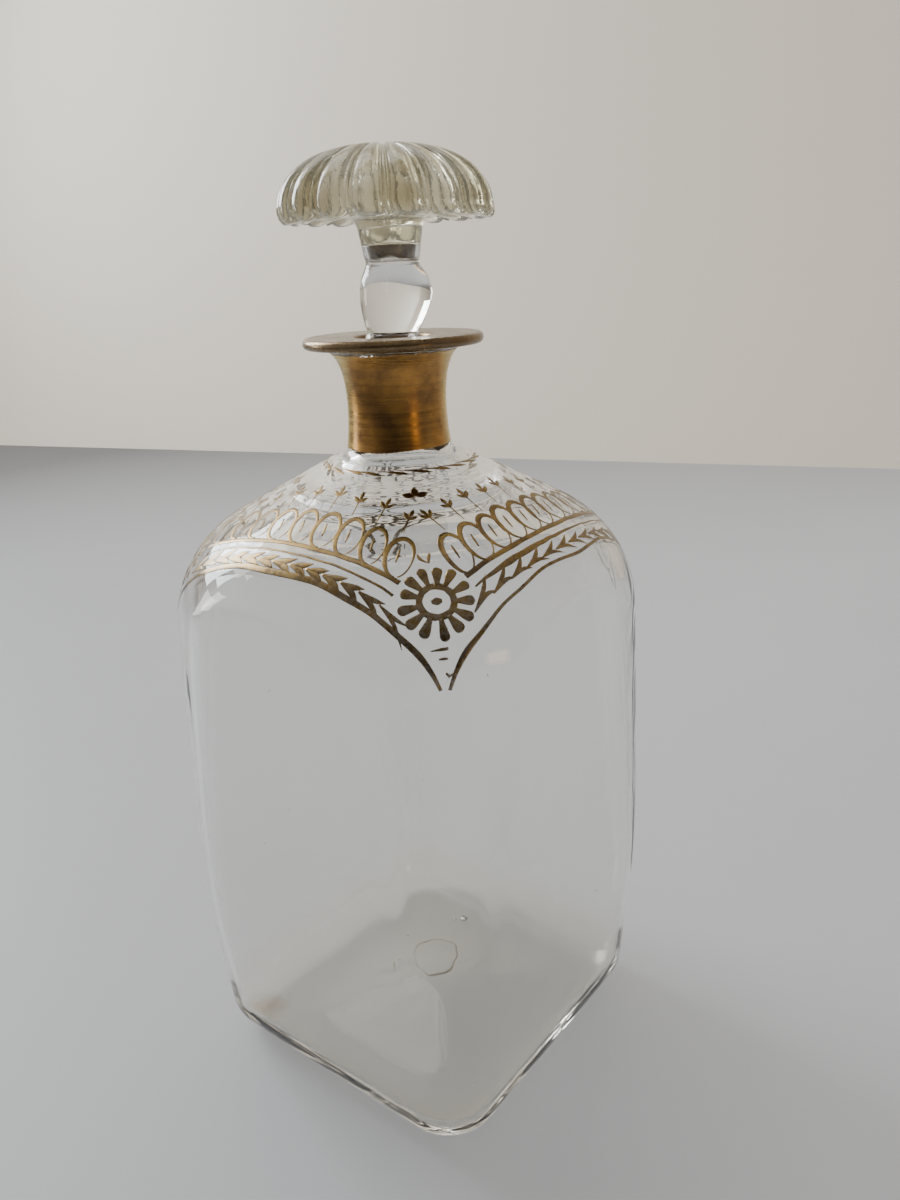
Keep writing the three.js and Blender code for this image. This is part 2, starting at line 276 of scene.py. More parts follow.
def edge_rings(radius, base, inset, inside, count):
    rings = []
    for turn in np.linspace(0, math.pi / 2, count)[1:]:
        z = base + radius * (1 - math.cos(turn))
        deep = inset + radius * (1 - math.sin(turn))
        rings.append(body_ring(TURNED_AT_FOOT - TURNED_TAPER * z - deep, z, deep, inside))
    return rings


def wall_rings(low, inset, inside, count):
    high = ARC_CENTRE[1] + SHOULDER * math.sin(LEAN)
    return [body_ring(TURNED_AT_FOOT - TURNED_TAPER * z - inset, z, inset, inside)
            for z in np.linspace(low, high, count)[1:-1]]


def bottle_rings():
    slope_end = math.pi / 2 - SLOPE
    outer = floor_rings(0, 0.0, 60) + edge_rings(FOOT_EDGE, 0.0, 0.0, 0, 16)
    outer += wall_rings(FOOT_EDGE, 0.0, 0, 48)
    outer += [body_ring(r, z) for r, z in arc(ARC_CENTRE, SHOULDER, LEAN, slope_end, 34)]
    cone = [(r, APEX - r * math.tan(SLOPE)) for r in np.linspace(CONE_RADIUS, NECK_PROFILE[0][0], 110)[1:-1]]
    outer += [body_ring(r, z) for r, z in cone]
    outer += [body_ring(r, z) for r, z in NECK_OUTLINE]
    bore = [(BORE_TOP + (BORE_FOOT - BORE_TOP) * t, LIP_TOP - 1.6 + (BORE_END - LIP_TOP + 1.6) * t)
            for t in np.linspace(0, 1, 8)[1:-1]]
    under = [body_ring(r, z, 0.0, 1) for r, z in [*bore, *spline(INNER_SHOULDER, 64)]]
    inner_radius = SHOULDER - WALL
    meet = ARC_CENTRE + inner_radius * np.array([math.sin(SLOPE), math.cos(SLOPE)])
    cone = np.linspace(INNER_SHOULDER[-1], meet, 8)[1:-1]
    under += [body_ring(r, z, WALL, 1) for r, z in cone]
    under += [body_ring(r, z, WALL, 1) for r, z in arc(ARC_CENTRE, inner_radius, slope_end, LEAN, 30)]
    low = FLOOR_GLASS + INNER_FLOOR_EDGE
    under += wall_rings(low, WALL, 1, 44)[::-1]
    under += edge_rings(INNER_FLOOR_EDGE, FLOOR_GLASS, WALL, 1, 14)[::-1]
    under += floor_rings(1, FLOOR_GLASS, 40)[::-1]
    return outer + under


# ---- Gilding: painted strokes on the shoulder ----

# Where the small motifs are, in distance run down the shoulder from the cone's apex.
WREATH_RUN = 16.3
TREFOIL_RUN = 23.0
FORK_RUN = 38.3
DASH_RUNS = (54.2, 55.7, 58.4)
DAISY_OUT = 39.9  # from the axis
PETALS = 13


def stroke(path, widths, step=0.45):
    """A painted stroke: path is points of (angle, run), widths the brush width at each. The film
    is crowned and lies on the glass."""
    mean = radius_at(float(np.mean([p[1] for p in path])))
    flat = [(p[0] * mean, p[1], w) for p, w in zip(path, widths)]
    length = sum(math.dist(a[:2], b[:2]) for a, b in zip(flat, flat[1:]))
    line = spline(flat, max(int(length / step), 4))
    heading = np.gradient(line[:, :2], axis=0)
    heading /= np.linalg.norm(heading, axis=1)[:, None] + 1e-9
    sections = []
    for (across, run, width), (ahead, down) in zip(line, heading):
        half = max(width, 0.08) / 2
        scale = mean / radius_at(run)
        section = []
        for side, lift in ((-1, 0.0), (-0.75, FILM), (0, 1.2 * FILM), (0.75, FILM), (1, 0.0)):
            angle = (across - down * half * side * scale) / mean
            section.append(on_glass(angle, run + ahead * half * side, FILM_LIFT + lift))
        sections.append(section)
    middle = [np.mean(s, axis=0) for s in (sections[0], sections[-1])]
    return sections, middle[0], middle[1]


class Side:
    """One side's ornament: s runs along the side towards the main corner, d out from the axis."""

    def __init__(self, facing, sense, ovals, pitch, middle, bow):
        self.facing = math.radians(facing) + ORNAMENT_TURN
        self.sense, self.ovals, self.pitch = sense, ovals, pitch
        self.middle, self.bow = middle, bow
        self.hand = random.Random(int(facing) + 7)
        self.bold = ovals == 9

    def at(self, s, d):
        return self.facing + self.sense * math.atan2(s, d), run_at(math.hypot(s, d))

    def border(self, s, out=0.0):
        return self.middle + out - self.bow * (s / 23) ** 2

    def shaky(self, size):
        return self.hand.uniform(-size, size)


def painted_line(side, out, ends, widths, steps=24):
    """A line that follows the side's border, out millimetres outside it."""
    along = np.linspace(*ends, steps)
    path = [side.at(s, side.border(s, out) + side.shaky(0.06)) for s in along]
    brush = np.interp(np.linspace(0, 1, steps), np.linspace(0, 1, len(widths)), widths)
    return stroke(path, [w * (1 + side.shaky(0.08)) for w in brush])


def lower_arch(side, middle, widths):
    """The ogee arch from corner tip to corner tip: run against the angle from the corner."""
    half = [(0.9, 60.9), (2.6, 57.7), (5, 54.8), (8.7, 52.1), (14.7, 48.4), (21, 45.8),
            (28.6, 43.6), (36, 42.8), (45, 42.6)]
    drop = middle - half[-1][1]
    path = [(math.radians(45 - a), run + drop * a / 45) for a, run in half]
    path += [(-a, run) for a, run in path[-2::-1]]
    path = [(side.facing + side.sense * a, run + side.shaky(0.12)) for a, run in path]
    brush = np.interp(np.linspace(0, 1, len(path)), np.linspace(0, 1, len(widths)), widths)
    return stroke(path, brush)


def oval(side, s):
    """A leaning oval loop with a dash in it, and the sprig that grows beside it."""
    lean = math.radians((19 if side.bold else 25) + side.shaky(3))
    long_half, short_half = 3.75 + side.shaky(0.15), 2.25 + side.shaky(0.15)
    foot = side.border(s) - 0.45
    centre = np.array([s, foot - long_half * math.cos(lean)])
    up = np.array([-math.sin(lean), -math.cos(lean)])
    left = np.array([-up[1], up[0]]) * (-side.sense)
    turn = np.linspace(-0.5 * math.pi, 1.42 * math.pi, 26)
    loop = [centre + up * long_half * math.sin(t) + left * short_half * math.cos(t) for t in turn]
    brush = np.interp(turn, [-1.6, -0.6, 0.5, 1.5, 2.2, 3.2, 4.6], [0.36, 0.8, 1.0, 1.15, 0.85, 0.36, 0.28])
    dash = [centre + up * t + left * 0.25 for t in (-1.3, 0.1, 1.5)]
    parts = [stroke([side.at(*p) for p in loop], brush)]
    parts.append(stroke([side.at(*p) for p in dash], [0.26, 0.46, 0.3]))
    return parts


def sprig(side, s):
    """A stem with three small leaves, standing between two ovals."""
    foot = np.array([s - 2.6, side.border(s) - 8.0])
    head = np.array([s - 3.3 + side.shaky(0.2), side.border(s) - 11.6 + side.shaky(0.3)])
    stem = head - foot
    ahead = stem / np.linalg.norm(stem)
    across = np.array([-ahead[1], ahead[0]])
    parts = [stroke([side.at(*(foot + stem * t)) for t in (0, 0.5, 1)], [0.2, 0.28, 0.32], 0.3)]
    for turn, length in ((-0.75, 1.9), (0.0, 2.0), (0.75, 1.75)):
        way = ahead * math.cos(turn) + across * math.sin(turn)
        root = head - ahead * (0.5 if turn else 0.0)
        leaf = [root + way * length * t for t in (0, 0.55, 1)]
        parts.append(stroke([side.at(*p) for p in leaf], [0.3, 0.85, 0.18], 0.25))
    return parts


def vine(side, out, ends, bold):
    """A chain of swallowtail leaves; each widens to the right, as seen from outside. The bold
    ones are thick and leafy, and thin out towards the main corner's daisy."""
    parts = []
    right = side.sense
    s = ends[1] if right > 0 else ends[0]
    while min(ends) - 0.1 <= s <= max(ends) + 0.1:
        weight = float(np.interp(s, [-22, 8, 17, 23], [1.5, 1.5, 1.15, 0.7])) if bold else 0.95
        reach = (3.75 if bold else 3.9) * (1 + side.shaky(0.1))
        spread = 0.7 if bold else 0.9
        for hand in (-1, 1):
            tail = np.array([s - right * 0.5, side.border(s, out)])
            middle = np.array([s + right * reach * 0.62, side.border(s, out) + hand * 0.3 * weight])
            tip = middle + np.array([right * reach * 0.5, hand * (spread + side.shaky(0.12))])
            leaf = [side.at(*tail), side.at(*middle), side.at(*tip)]
            parts.append(stroke(leaf, [0.26 * weight, 0.85 * weight, 0.14], 0.3))
        s += right * reach
    return parts


def local_stroke(corner, run, points, widths, step=0.3):
    """A stroke from points (right, up) in millimetres about a place on the shoulder."""
    around = radius_at(run)
    return stroke([(corner + x / around, run - y) for x, y in points], widths, step)


def daisy(corner):
    """Thirteen petals on a ring round an open eye with a dot in it."""
    hand = random.Random(int(math.degrees(corner)))
    run, ring, reach = run_at(DAISY_OUT), 2.75, 6.35
    turns = np.linspace(0, 2 * math.pi, 29)
    circle = [(ring * math.sin(t) * 1.02, ring * math.cos(t) * 0.95) for t in turns]
    parts = [local_stroke(corner, run, circle, [1.15 + hand.uniform(-0.1, 0.1) for _ in turns])]
    for i in range(PETALS):
        turn = (i + 0.35) / PETALS * 2 * math.pi + hand.uniform(-0.04, 0.04)
        tip = reach + hand.uniform(-0.35, 0.3)
        ray = [ring + 0.1, ring + 0.8, (ring + tip) / 2 + 0.3, tip - 0.65, tip - 0.2, tip]
        petal = [(r * math.sin(turn), r * math.cos(turn)) for r in ray]
        fat = 1.75 + hand.uniform(-0.12, 0.12)
        brush = [0.85, 0.55 * fat, 0.9 * fat, fat, 0.72 * fat, 0.25 * fat]
        parts.append(local_stroke(corner, run, petal, brush, 0.25))
    parts.append(local_stroke(corner, run, [(-0.9, -0.1), (0, 0), (0.9, 0.05)], [0.5, 1.35, 0.6], 0.2))
    return parts


def corner_motifs(corner):
    """The dashes below the daisy, the forked leaf above it and the trefoil near the neck."""
    dashes = [([(-1.9, -0.1), (-0.2, 0.05), (1.0, 0.1)], [0.15, 0.55, 0.5]),
              ([(-0.7, 0), (0.1, 0.05), (0.8, 0)], [0.25, 0.5, 0.3]),
              ([(0.3, 0.5), (0.8, -0.2), (1.3, 0.3)], [0.35, 0.5, 0.2])]
    parts = [local_stroke(corner, run, *dash) for run, dash in zip(DASH_RUNS, dashes)]
    fork = [((-1.9, 1.0), (-1.5, -0.1), (-0.5, -0.9)), ((0.2, 1.1), (-0.1, 0.1), (-0.3, -1.1))]
    for leaf in fork:
        parts.append(local_stroke(corner, FORK_RUN, leaf, [0.35, 0.62, 0.3]))
    for turn in (-1.25, 0.0, 1.2):
        leaf = [(t * math.sin(turn), t * math.cos(turn)) for t in (0.1, 1.3, 2.5)]
        parts.append(local_stroke(corner, TREFOIL_RUN, leaf, [0.5, 1.5, 0.35]))
    return parts


def neck_wreath():
    """A ring of small feathery strokes round the foot of the neck."""
    hand = random.Random(3)
    parts = []
    count = 22
    for i in range(count):
        angle = (i + hand.uniform(-0.15, 0.15)) / count * 2 * math.pi + ORNAMENT_TURN
        lift = hand.uniform(-0.15, 0.15)
        leaf = [(-3.4, 0.55 + lift), (-1.2, 0.35 + lift), (1.1, -0.1 + lift), (2.7, -0.55 + lift)]
        parts.append(local_stroke(angle, WREATH_RUN, leaf, [0.14, 0.42, 0.8, 0.15]))
    return parts


# ---- Materials ----

class Nodes:
    """A short way to write a node tree."""

    def __init__(self, tree):
        self.tree = tree
        self.tree.nodes.clear()

    def add(self, kind, inputs=None, **settings):
        node = self.tree.nodes.new(kind)
        for key, value in settings.items():
            setattr(node, key, value)
        for key, value in (inputs or {}).items():
            if isinstance(value, bpy.types.NodeSocket):
                self.tree.links.new(value, node.inputs[key])
            else:
                node.inputs[key].default_value = value
        return node

    def noise(self, place, scale, detail=3.0, rough=0.5, stretch=None):
        if stretch:
            place = self.add("ShaderNodeMapping", {"Vector": place, "Scale": stretch}).outputs[0]
        node = self.add("ShaderNodeTexNoise", {"Vector": place, "Scale": scale, "Detail": detail,
                                               "Roughness": rough})
        return node.outputs["Fac"]

    def ramp(self, value, low, high, start=0.0, end=1.0):
        node = self.add("ShaderNodeMapRange", {"Value": value, "From Min": low, "From Max": high,
                                               "To Min": start, "To Max": end})
        return node.outputs[0]

    def mix(self, share, a, b):
        node = self.add("ShaderNodeMix", data_type="RGBA")
        for key, value in (("Factor", share), ("A", a), ("B", b)):
            socket = [s for s in node.inputs if s.name == key and s.enabled][0]
            if isinstance(value, bpy.types.NodeSocket):
                self.tree.links.new(value, socket)
            else:
                socket.default_value = value if key == "Factor" else (*value, 1.0)
        return [s for s in node.outputs if s.enabled][0]

    def bump(self, height, strength, distance, normal=None):
        inputs = {"Height": height, "Strength": strength, "Distance": distance}
        if normal is not None:
            inputs["Normal"] = normal
        return self.add("ShaderNodeBump", inputs).outputs[0]


def material(name):
    mat = bpy.data.materials.new(name)
    mat.use_nodes = True
    nodes = Nodes(mat.node_tree)
    shader = nodes.add("ShaderNodeBsdfPrincipled")
    out = nodes.add("ShaderNodeOutputMaterial")
    nodes.tree.links.new(shader.outputs[0], out.inputs["Surface"])
    place = nodes.add("ShaderNodeTexCoord").outputs["Object"]
    return mat, nodes, shader, place


def wire(nodes, shader, **sockets):
    for key, value in sockets.items():
        socket = shader.inputs[key.replace("_", " ")]
        if isinstance(value, bpy.types.NodeSocket):
            nodes.tree.links.new(value, socket)
        else:
            socket.default_value = value


STAIN = (-0.0265, 0.0265, 0.002)  # a tan stain at one corner of the foot


def glass(name, tint, strong_tint_and_shade, rough, waves, grain, hammered=0.0, foot_tint=None, ior=1.5):
    """Clear glass: patches of a stronger tint, smears in its polish, long waves and finer grain in
    its face. hammered adds the upright chill marks of an iron mould, and darker zones above the
    stem, which are painted shade standing for the dark room seen reflected in the glass; foot_tint
    is the colour of the thick glass in the foot, which has a stain at one corner."""
    mat, nodes, shader, place = material(name)
    long_waves = nodes.noise(place, 55.0, 2.0, 0.4, (1, 1, 0.55))
    fine = nodes.noise(place, 900.0, 3.0, 0.6)
    smears = nodes.noise(place, 160.0, 4.0, 0.65, (1, 1, 0.35))
    colour = nodes.mix(nodes.ramp(smears, 0.38, 0.62), tint, strong_tint_and_shade)
    if hammered:
        # Painted shade: darker zones above the stem that stand for the dark room seen reflected inside the
        # finial.
        zones = nodes.noise(place, 70.0, 2.0, 0.5, (1, 1, 0.4))
        height = nodes.add("ShaderNodeSeparateXYZ", {"Vector": place}).outputs["Z"]
        above_stem = nodes.ramp(height, 0.168, 0.172)
        thick = nodes.add("ShaderNodeMath", {0: nodes.ramp(zones, 0.38, 0.5), 1: above_stem},
                          operation="MULTIPLY").outputs[0]
        colour = nodes.mix(thick, tint, strong_tint_and_shade)
    if foot_tint:
        height = nodes.add("ShaderNodeSeparateXYZ", {"Vector": place}).outputs["Z"]
        colour = nodes.mix(nodes.ramp(height, 0.016, 0.009), colour, foot_tint)
        spot = nodes.add("ShaderNodeVectorMath", {0: place, 1: STAIN}, operation="DISTANCE").outputs["Value"]
        spot = nodes.add("ShaderNodeMath", {0: spot, 1: nodes.ramp(smears, 0.3, 0.7, -0.003, 0.003)})
        colour = nodes.mix(nodes.ramp(spot.outputs[0], 0.006, 0.002), colour, (0.80, 0.66, 0.48))
    normal = nodes.bump(long_waves, waves, 0.0012)
    normal = nodes.bump(fine, grain, 0.00006, normal)
    if hammered:
        chill = nodes.noise(place, 620.0, 4.0, 0.62, (1, 1, 0.22))
        normal = nodes.bump(chill, hammered, 0.0004, normal)
    wire(nodes, shader, Base_Color=colour, Normal=normal, IOR=ior, Transmission_Weight=1.0,
         Roughness=nodes.ramp(smears, 0.35, 0.75, rough, rough * 2.2))
    return mat


def gilding(name, bright, dark, streaks, worn_below=0.0, edge=None):
    """Fired gold: brown where the film is thin, with brush streaks, and another colour, edge,
    where it is seen aslant, which is a painted highlight standing for the window reflected along
    the gilding's edges. Strokes low on the corners are rubbed grey in the middle."""
    mat, nodes, shader, place = material(name)
    patches = nodes.noise(place, 210.0, 4.0, 0.6)
    flecks = nodes.noise(place, 1500.0, 2.0, 0.6)
    brushed = nodes.noise(place, 420.0, 3.0, 0.6, streaks)
    cover = nodes.add("ShaderNodeMath", {0: brushed, 1: 0.3, 2: patches}, operation="MULTIPLY_ADD")
    tone = nodes.mix(nodes.ramp(cover.outputs[0], 0.5, 0.82), dark, bright)
    if edge:
        # Painted highlight: where the gilding is seen aslant its colour turns to edge, standing for the
        # window reflected there.
        aslant = nodes.add("ShaderNodeLayerWeight", {"Blend": 0.35}).outputs["Facing"]
        tone = nodes.mix(nodes.ramp(aslant, 0.35, 0.9), tone, edge)
    height = nodes.add("ShaderNodeSeparateXYZ", {"Vector": place}).outputs["Z"]
    low = nodes.ramp(height, worn_below, worn_below - 0.012)
    rubbed = nodes.add("ShaderNodeMath", {0: low, 1: nodes.ramp(flecks, 0.38, 0.62)},
                       operation="MULTIPLY").outputs[0]
    tone = nodes.mix(rubbed, tone, (0.33, 0.30, 0.26))
    pits = nodes.ramp(flecks, 0.64, 0.76, 0.0, 0.5)
    colour = nodes.mix(pits, tone, tuple(0.45 * c for c in dark))
    normal = nodes.bump(brushed, 0.22, 0.00012)
    normal = nodes.bump(flecks, 0.25, 0.00004, normal)
    wire(nodes, shader, Base_Color=colour, Metallic=1.0, Normal=normal,
         Roughness=nodes.ramp(brushed, 0.3, 0.7, 0.2, 0.36))
    return mat


def cement(name):
    """Aged brown cement behind glass."""
    mat, nodes, shader, place = material(name)
    blotches = nodes.noise(place, 380.0, 4.0, 0.6)
    colour = nodes.mix(nodes.ramp(blotches, 0.4, 0.7), (0.12, 0.072, 0.036), (0.50, 0.36, 0.21))
    wire(nodes, shader, Base_Color=colour, Roughness=nodes.ramp(blotches, 0.3, 0.7, 0.2, 0.5),
         Normal=nodes.bump(blotches, 0.5, 0.0003))
    return mat


def painted(name, base, other, scale, rough, glow, pool=None):
    """A matt painted surface, lit a little from within like a light table. With pool, which is
    (centre, inner radius, outer radius), the glow and the colour both fade out away from the
    centre: painted shade, darker beyond the pool."""
    mat, nodes, shader, place = material(name)
    cloud = nodes.noise(place, scale, 5.0, 0.55)
    colour = nodes.mix(nodes.ramp(cloud, 0.3, 0.7), base, other)
    light = nodes.mix(nodes.ramp(cloud, 0.3, 0.7), glow, tuple(0.97 * c for c in glow))
    if pool:
        away = nodes.add("ShaderNodeVectorMath", {0: place, 1: pool[0]}, operation="DISTANCE")
        fade = nodes.ramp(away.outputs["Value"], pool[1], pool[2])
        # Painted shade: beyond the pool the colour falls to a quarter and the glow to 0.15 of itself.
        colour = nodes.mix(fade, colour, tuple(0.25 * c for c in base))
        light = nodes.mix(fade, light, tuple(0.15 * c for c in glow))
    wire(nodes, shader, Base_Color=colour, Emission_Color=light, Emission_Strength=1.0,
         Roughness=rough, Normal=nodes.bump(nodes.noise(place, scale * 90, 3.0), 0.1, 0.0002))
    return mat


BOTTLE_GLASS = glass("bottle_glass", (0.982, 0.985, 0.975), (0.975, 0.976, 0.962), 0.01, 0.08, 0.03,
                     foot_tint=(0.965, 0.942, 0.87))
# The finial's dark second colour is painted shade, for the dark room reflected in the glass, laid in zones
# above the stem.
FINIAL_GLASS = glass("finial_glass", (0.72, 0.71, 0.60), (0.34, 0.31, 0.19), 0.02, 0.2, 0.3, 0.22, ior=1.55)
KNOP_GLASS = glass("knop_glass", (0.965, 0.965, 0.94), (0.95, 0.95, 0.92), 0.01, 0.08, 0.02)
LINE_GOLD = gilding("line_gilding", (0.31, 0.21, 0.075), (0.15, 0.10, 0.045), (1, 1, 1), 0.118)
# The neck band's edge colour is a painted highlight: the bright window reflected along its edges.
BAND_GOLD = gilding("band_gilding", (0.50, 0.265, 0.075), (0.24, 0.135, 0.055), (0.06, 0.06, 3),
                    edge=(0.78, 0.64, 0.20))
LIP_GOLD = gilding("lip_gilding", (0.25, 0.18, 0.10), (0.18, 0.125, 0.07), (1, 1, 0.2))
CEMENT = cement("cement")
SCAR = painted("pontil_scar", (0.50, 0.44, 0.34), (0.30, 0.26, 0.20), 900.0, 0.6, (0.0, 0.0, 0.0))
BUBBLE = glass("bubble", (1.0, 1.0, 1.0), (0.98, 0.98, 0.98), 0.01, 0.05, 0.02, ior=1 / 1.5)


# ---- Pieces of the bottle ----

place("glass_bottle", [(bottle_rings(), (0, 0, KICK_RISE), (0, 0, KICK_RISE + FLOOR_GLASS))],
      BOTTLE_GLASS, "bottle", "bottle_glass", "bottle")


def pontil_scar():
    """The broken ring that the pontil left under the push-up, as a thin ragged strip."""
    hand = random.Random(5)
    loops = []
    for turn in np.arange(160) / 160 * 2 * np.pi:
        reach = 7.3 + 0.5 * math.sin(2 * turn + 0.7) + 0.45 * math.sin(3 * turn) + 0.2 * math.sin(8 * turn)
        half = 0.16 + 0.2 * max(math.sin(2 * turn + 2.2), 0.0) ** 2 + hand.uniform(0.0, 0.1)
        loop = []
        for out, drop in ((-half, 0.16), (0.0, 0.10), (half, 0.16), (0.0, 0.24)):
            r = reach + out
            far, side = r * math.cos(turn) + 8.5, r * math.sin(turn) - 0.6
            x, y = (far + side) / math.sqrt(2), (far - side) / math.sqrt(2)
            share = math.hypot(x, y) / (SIDE_AT_FOOT - FOOT_EDGE - FOOT_BAND)
            loop.append((x, y, KICK_RISE * math.cos(share * math.pi / 2) ** 2 - drop))
        loops.append(loop)
    return loops, None, None


def ball(centre, radius):
    """A small round bubble."""
    angle = np.arange(10) / 10 * 2 * np.pi
    rings = []
    for turn in np.linspace(-math.pi / 2, math.pi / 2, 8)[1:-1]:
        out = radius * math.cos(turn)
        rings.append(np.column_stack([centre[0] + out * np.cos(angle), centre[1] + out * np.sin(angle),
                                      np.full(10, centre[2] + radius * math.sin(turn))]))
    return rings, np.add(centre, (0, 0, -radius)), np.add(centre, (0, 0, radius))


def seeds():
    """Gas bubbles in the glass: one large one in the floor and small seeds in the sides."""
    hand = random.Random(12)
    balls = [ball((23.0, 9.5, 2.2), 0.95), ball((21.5, 11.2, 2.2), 0.45)]
    for _ in range(26):
        angle, z = hand.uniform(0, 2 * math.pi), hand.uniform(14, 84)
        out = float(body_radius(angle, z, TURNED_AT_FOOT - TURNED_TAPER * z)) - 0.5 * WALL
        balls.append(ball((out * math.cos(angle), out * math.sin(angle), z), hand.uniform(0.1, 0.22)))
    return balls


place("pontil_scar", [pontil_scar()], SCAR, "bottle", "bottle_glass")
place("seeds", seeds(), BUBBLE, "bottle", "bottle_glass")


def run_to(inside):
    """Distance along the neck's outline to its first point that inside accepts."""
    steps = np.linalg.norm(np.diff(NECK_OUTLINE, axis=0), axis=1)
    return np.concatenate([[0], np.cumsum(steps)])[[bool(inside(*p)) for p in NECK_OUTLINE].index(True)]


def film_round(start, end, samples, ragged):
    """A film round the neck's outline from start to end, in distance along it; ragged is how far
    each edge wanders."""
    steps = np.linalg.norm(np.diff(NECK_OUTLINE, axis=0), axis=1)
    length = np.concatenate([[0], np.cumsum(steps)])
    along = np.gradient(NECK_OUTLINE, length, axis=0)
    angle = np.arange(STATIONS) / STATIONS * 2 * np.pi
    slow = np.sin(2 * angle + 4.4) + 0.35 * np.sin(5 * angle)
    quick = np.sin(41 * angle) * np.sin(23 * angle + 1) + 0.6 * np.sin(67 * angle + 2)
    first = start + ragged[0] * (slow + 0.2 * quick)
    last = end + ragged[1] * (0.4 * slow + quick)
    rings = []
    for lift, order in ((FILM_LIFT, 1), (FILM_LIFT + FILM, -1)):
        for share in np.linspace(0, 1, samples)[::order]:
            at = first + (last - first) * share
            r, z, ahead, rise = [np.interp(at, length, column) for column in
                                 (*NECK_OUTLINE.T, along[:, 0], along[:, 1])]
            out = r + rise * lift
            rings.append(np.column_stack([out * np.cos(angle), out * np.sin(angle), z - ahead * lift]))
    return rings, None, None


BAND_FOOT, BAND_TOP = 130.0, 147.15  # heights of the neck band's edges
LIP_FILM_UNDER, LIP_FILM_INSIDE = 12.6, 7.0  # radii of the lip band's edges

band_low = run_to(lambda r, z: z > BAND_FOOT)
band_high = run_to(lambda r, z: z > BAND_TOP)
lip_under = run_to(lambda r, z: r > LIP_FILM_UNDER)
lip_inside = run_to(lambda r, z: r < LIP_FILM_INSIDE)
place("neck_band", [film_round(band_low, band_high, 90, (0.2, 0.22))],
      BAND_GOLD, "bottle", "gilding", "neck_gilding")
place("lip_band", [film_round(lip_under, lip_inside, 150, (0.25, 0.1))],
      LIP_GOLD, "bottle", "gilding", "lip_gilding")

# facing, sense, ovals, pitch, border's middle and bow; the two sides at each main corner mirror
# each other, and the painter set them a little differently.
SIDES = [Side(0, 1, 10, 4.4, 32.6, 2.9), Side(90, -1, 9, 5.0, 31.5, 1.5),
         Side(180, 1, 9, 5.0, 31.5, 1.5), Side(270, -1, 10, 4.4, 32.6, 2.9)]


def ornament(number, side):
    bold = side.bold
    upper = painted_line(side, 0.0, (22.4, -22.4), [0.95, 1.0, 1.0, 0.95])
    middle = [0.5, 0.5, 0.45, 0.4, 0.2] if bold else [0.3, 1.2, 1.1, 0.7, 0.4, 0.35, 0.3]
    second = painted_line(side, 1.8, (22.4, -21.5), middle)
    arch = [0.6, 1.1, 0.6, 0.6, 0.65, 0.6, 0.6, 1.0, 0.5]
    if bold:
        arch = [0.6, 1.1, 1.0, 1.25, 1.35, 1.25, 1.0, 1.0, 0.5]
    lower = lower_arch(side, 41.8 if bold else 43.6, arch)
    place(f"upper_border_line_{number}", [upper], LINE_GOLD, "bottle", "gilding", f"upper_border_{number}")
    place(f"lower_border_line_{number}", [lower], LINE_GOLD, "bottle", "gilding", f"lower_border_{number}")
    place(f"second_border_line_{number}", [second], LINE_GOLD, "bottle", "gilding")
    reach = (22.0, -22.5) if bold else (24.3, -22.5)
    place(f"vine_{number}", vine(side, 3.7, reach, bold), LINE_GOLD, "bottle", "gilding")
    spots = [19.8 - i * side.pitch for i in range(side.ovals)]
    ovals = [part for s in spots for part in oval(side, s)]
    place(f"ovals_{number}", ovals, LINE_GOLD, "bottle", "gilding")
    sprigs = [part for s in spots[:-1] for part in sprig(side, s)]
    place(f"sprigs_{number}", sprigs, LINE_GOLD, "bottle", "gilding")


for number, side in enumerate(SIDES, 1):
    ornament(number, side)
for number in range(1, 5):
    corner = math.radians(90 * number - 45) + ORNAMENT_TURN
    place(f"daisy_{number}", daisy(corner), LINE_GOLD, "bottle", "gilding", f"corner_daisy_{number}")
    place(f"corner_motifs_{number}", corner_motifs(corner), LINE_GOLD, "bottle", "gilding")
place("neck_wreath", neck_wreath(), LINE_GOLD, "bottle", "gilding")


# ---- Stopper ----

KNOP_SHIFT = np.array([0.68, -0.88, 0.0])  # the knop was blown a little off the shank's axis
CUP_RIM = RING_TOP - 0.12
CUP_FLOOR = RING_LOW + 0.35
STOPPER_STATIONS = 128


def lean(z):
    """How far off the axis the stopper's middle lies at a height above the lip."""
    share = np.interp(z, [LIP_TOP, KNOP_HEIGHT, RING_LOW, RING_TOP + 3, FINIAL_RIM + 1], [0, 1, 0.6, 0.5, 0])
    return KNOP_SHIFT * share


def turned_rings(profile, stations, uneven=0.0):
    """Rings of a turned profile that follow the stopper's lean."""
    angle = np.arange(stations) / stations * 2 * np.pi
    rings = []
    for r, z in profile:
        out = r + uneven * (np.sin(2 * angle + z / 3) + 0.5 * np.sin(3 * angle - z))
        ring = np.column_stack([out * np.cos(angle), out * np.sin(angle), np.full(stations, z)])
        rings.append(ring + lean(z))
    return rings


